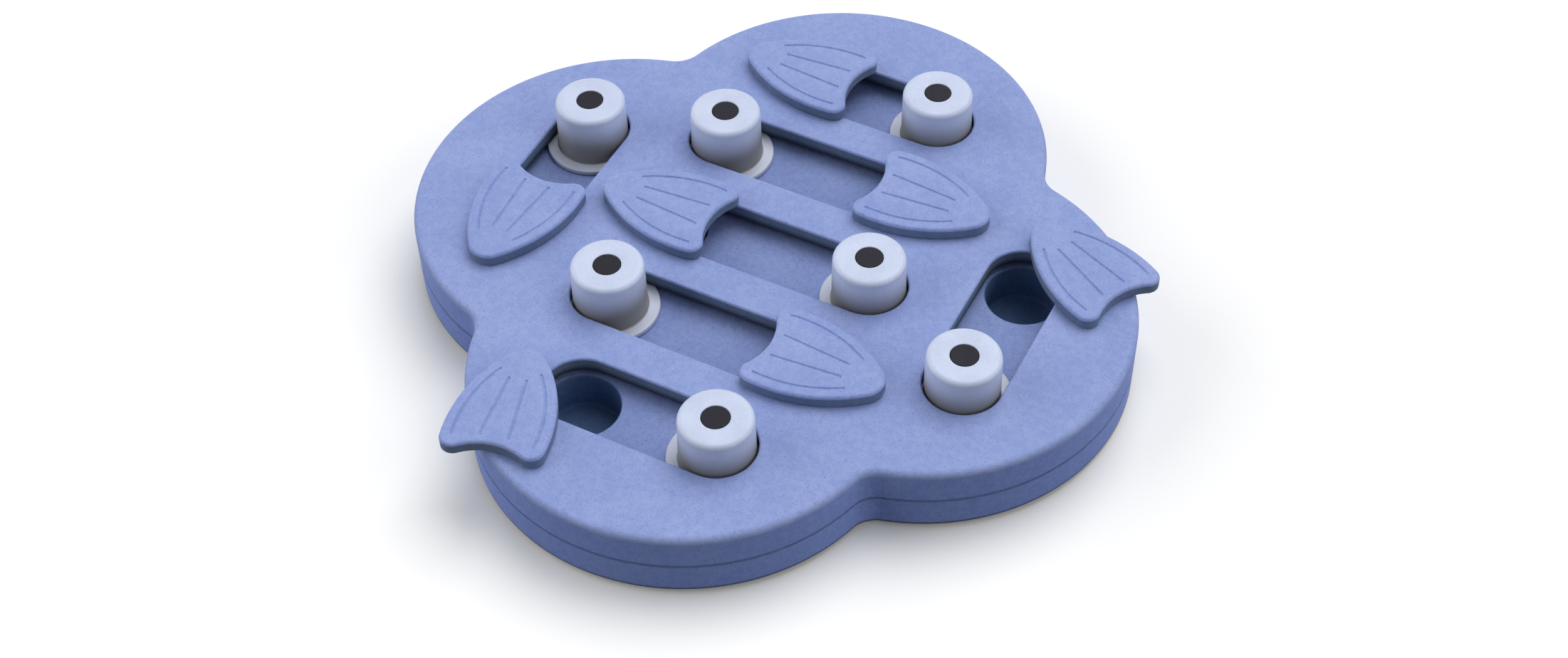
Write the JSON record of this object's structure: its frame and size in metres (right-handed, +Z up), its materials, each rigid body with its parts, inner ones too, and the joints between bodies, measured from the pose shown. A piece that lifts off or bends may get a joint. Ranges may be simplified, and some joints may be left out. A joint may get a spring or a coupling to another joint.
{
  "type": "dog puzzle feeder toy",
  "caption": "Flower-shaped treat puzzle board with slotted tracks, captive sliding knobs and fish-tail flippers that swivel over treat wells.",
  "frame": {"origin": "middle of the board's outline, in the plane that the rubber feet rest on", "axes": "+Z up out of the board's top face, +X to the right along the long tracks, +Y to the back; the front track with the open flipper is at -Y"},
  "size_m": [0.326, 0.326, 0.0513],
  "materials": {
    "board": "matte mottled blue moulded plastic and wood-fibre composite",
    "knob": "smooth satin light grey",
    "plug": "dark matte elastomer",
    "foot": "matte black rubber",
    "steel": "plain bright steel"
  },
  "bodies": {
    "board": {"lower_shell": "board", "track_deck": "board", "treat_cups_1": "board", "treat_cups_2": "board", "treat_cups_3": "board", "treat_cups_4": "board", "treat_cups_5": "board", "treat_cups_6": "board", "treat_cups_7": "board", "upper_shell": "board", "shell_screws": "steel", "rubber_feet": "foot"},
    "slider_1": {"slider_1": "knob", "slider_flange_1": "knob", "slider_plug_1": "plug"},
    "slider_2": {"slider_2": "knob", "slider_flange_2": "knob", "slider_plug_2": "plug"},
    "slider_3": {"slider_3": "knob", "slider_flange_3": "knob", "slider_plug_3": "plug"},
    "slider_4": {"slider_4": "knob", "slider_flange_4": "knob", "slider_plug_4": "plug"},
    "slider_5": {"slider_5": "knob", "slider_flange_5": "knob", "slider_plug_5": "plug"},
    "slider_6": {"slider_6": "knob", "slider_flange_6": "knob", "slider_plug_6": "plug"},
    "slider_7": {"slider_7": "knob", "slider_flange_7": "knob", "slider_plug_7": "plug"},
    "flipper_1": {"flipper_1": "board", "pivot_washer_1": "steel", "pivot_screw_1": "steel"},
    "flipper_2": {"flipper_2": "board", "pivot_washer_2": "steel", "pivot_screw_2": "steel"},
    "flipper_3": {"flipper_3": "board", "pivot_washer_3": "steel", "pivot_screw_3": "steel"},
    "flipper_4": {"flipper_4": "board", "pivot_washer_4": "steel", "pivot_screw_4": "steel"},
    "flipper_5": {"flipper_5": "board", "pivot_washer_5": "steel", "pivot_screw_5": "steel"},
    "flipper_6": {"flipper_6": "board", "pivot_washer_6": "steel", "pivot_screw_6": "steel"},
    "flipper_7": {"flipper_7": "board", "pivot_washer_7": "steel", "pivot_screw_7": "steel"}
  },
  "joints": [
    {"name": "slider_1_slide", "type": "slide", "parent": "board", "child": "slider_1", "axis": [0, -1, 0], "range_m": [0, 0.0265]},
    {"name": "slider_2_slide", "type": "slide", "parent": "board", "child": "slider_2", "axis": [1, 0, 0], "range_m": [0, 0.052]},
    {"name": "slider_3_slide", "type": "slide", "parent": "board", "child": "slider_3", "axis": [-1, 0, 0], "range_m": [0, 0.0265]},
    {"name": "slider_4_slide", "type": "slide", "parent": "board", "child": "slider_4", "axis": [1, 0, 0], "range_m": [0, 0.052]},
    {"name": "slider_5_slide", "type": "slide", "parent": "board", "child": "slider_5", "axis": [-1, 0, 0], "range_m": [0, 0.052]},
    {"name": "slider_6_slide", "type": "slide", "parent": "board", "child": "slider_6", "axis": [0, 1, 0], "range_m": [0, 0.048]},
    {"name": "slider_7_slide", "type": "slide", "parent": "board", "child": "slider_7", "axis": [-1, 0, 0], "range_m": [0, 0.0545]},
    {"name": "flipper_1_swing", "type": "hinge", "parent": "board", "child": "flipper_1", "pos_m": [-0.1055, -0.05675, 0.0345], "axis": [0, 0, 1], "range_deg": [-40, 120]},
    {"name": "flipper_2_swing", "type": "hinge", "parent": "board", "child": "flipper_2", "pos_m": [0.073, 0.05225, 0.0345], "axis": [0, 0, 1], "range_deg": [-20, 20]},
    {"name": "flipper_3_swing", "type": "hinge", "parent": "board", "child": "flipper_3", "pos_m": [-0.0565, 0.1045, 0.0345], "axis": [0, 0, 1], "range_deg": [-30, 150]},
    {"name": "flipper_4_swing", "type": "hinge", "parent": "board", "child": "flipper_4", "pos_m": [0.073, -0.05225, 0.0345], "axis": [0, 0, 1], "range_deg": [-20, 20]},
    {"name": "flipper_5_swing", "type": "hinge", "parent": "board", "child": "flipper_5", "pos_m": [-0.073, 0, 0.0345], "axis": [0, 0, 1], "range_deg": [-20, 20]},
    {"name": "flipper_6_swing", "type": "hinge", "parent": "board", "child": "flipper_6", "pos_m": [0.1055, 0.05675, 0.0345], "axis": [0, 0, 1], "range_deg": [-78, 120]},
    {"name": "flipper_7_swing", "type": "hinge", "parent": "board", "child": "flipper_7", "pos_m": [-0.0565, -0.1045, 0.0345], "axis": [0, 0, -1], "range_deg": [-100, 70]}
  ]
}
